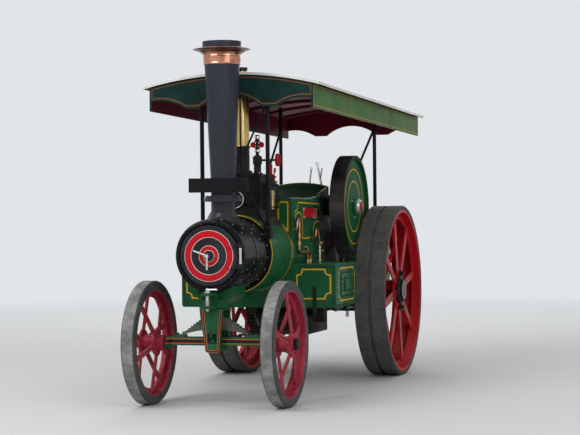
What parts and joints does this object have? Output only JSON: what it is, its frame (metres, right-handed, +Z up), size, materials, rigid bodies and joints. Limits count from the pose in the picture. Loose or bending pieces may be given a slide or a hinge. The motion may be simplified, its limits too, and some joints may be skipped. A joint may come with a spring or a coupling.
{
  "type": "steam traction engine",
  "caption": "Light steam road tractor with a canopy, a side flywheel, a belly tank, a rear tender and spoked wheels on rubber tyres.",
  "frame": {"origin": "on the ground under the middle of the engine's overall box", "axes": "+Z up, -Y the way the engine drives, +X the engine's left, the flywheel's side"},
  "size_m": [1.7, 4.676, 2.79],
  "materials": {
    "green": "gloss coach paint",
    "black": "gloss black paint",
    "red": "gloss red paint",
    "front_red": "gloss crimson paint",
    "rear_red": "gloss red paint",
    "boards": "painted boards",
    "roof": "painted canvas over boards",
    "copper": "polished copper",
    "brass": "polished brass",
    "steel": "bright steel",
    "iron": "oiled iron",
    "tyre": "worn rubber"
  },
  "bodies": {
    "root": {"boiler_barrel": "green", "smokebox": "black", "chimney": "black", "chimney_cap": "copper", "number_plate": "black", "cylinder_block": "black", "safety_valve": "brass", "governor": "red", "motion_case": "green", "motion_bonnet": "green", "firebox": "black", "hornplates": "black", "belly_tank": "green", "perch_bracket": "green", "tow_pin": "steel", "rear_axle": "steel", "gear_train": "iron", "tender": "green", "drawbar": "black", "canopy_roof": "roof", "canopy_boards": "boards", "front_posts": "black", "rear_posts": "black", "control_levers": "steel", "pipework": "copper", "steering_box": "black", "steering_chains": "iron"},
    "smokebox_door": {"smokebox_door": "black"},
    "crankshaft": {"crankshaft": "steel", "flywheel": "green", "flywheel_hub": "green"},
    "front_axle": {"front_axle": "green", "front_fork": "green", "leaf_spring": "iron"},
    "front_wheel_left": {"front_wheel_left": "front_red", "front_tyre_left": "tyre"},
    "front_wheel_right": {"front_wheel_right": "front_red", "front_tyre_right": "tyre"},
    "rear_wheel_left": {"rear_wheel_left": "rear_red", "rear_tyre_left": "tyre", "rear_hub_left": "black"},
    "rear_wheel_right": {"rear_wheel_right": "rear_red", "rear_tyre_right": "tyre", "rear_hub_right": "black"},
    "steering_column": {"steering_shaft": "steel", "steering_wheel": "black"}
  },
  "joints": [
    {"name": "smokebox_door_hinge", "type": "hinge", "parent": "root", "child": "smokebox_door", "pos_m": [0.252, -2.0293, 1.145], "axis": [0, 0, 1], "range_deg": [0, 95]},
    {"name": "flywheel_spin", "type": "hinge", "parent": "root", "child": "crankshaft", "pos_m": [0, 0.288, 1.515], "axis": [1, 0, 0], "continuous": true},
    {"name": "front_axle_steer", "type": "hinge", "parent": "root", "child": "front_axle", "pos_m": [0, -1.862, 0.476], "axis": [0, 0, 1], "range_deg": [-30, 30], "deforming": ["steering_chains"]},
    {"name": "front_wheel_left_spin", "type": "hinge", "parent": "front_axle", "child": "front_wheel_left", "pos_m": [0.5435, -1.862, 0.476], "axis": [1, 0, 0], "continuous": true},
    {"name": "front_wheel_right_spin", "type": "hinge", "parent": "front_axle", "child": "front_wheel_right", "pos_m": [-0.5435, -1.862, 0.476], "axis": [1, 0, 0], "continuous": true},
    {"name": "rear_wheel_left_spin", "type": "hinge", "parent": "root", "child": "rear_wheel_left", "pos_m": [0.71, 0.858, 0.76], "axis": [1, 0, 0], "continuous": true},
    {"name": "rear_wheel_right_spin", "type": "hinge", "parent": "root", "child": "rear_wheel_right", "pos_m": [-0.71, 0.858, 0.76], "axis": [1, 0, 0], "continuous": true},
    {"name": "steering_wheel_turn", "type": "hinge", "parent": "root", "child": "steering_column", "pos_m": [0.37, -0.2623, 0.59], "axis": [0, 0.8614, 0.508], "range_deg": [-1800, 1800]}
  ],
  "couplings": [
    {"joint": "steering_wheel_turn", "follows": "front_axle_steer", "ratio": 60}
  ]
}
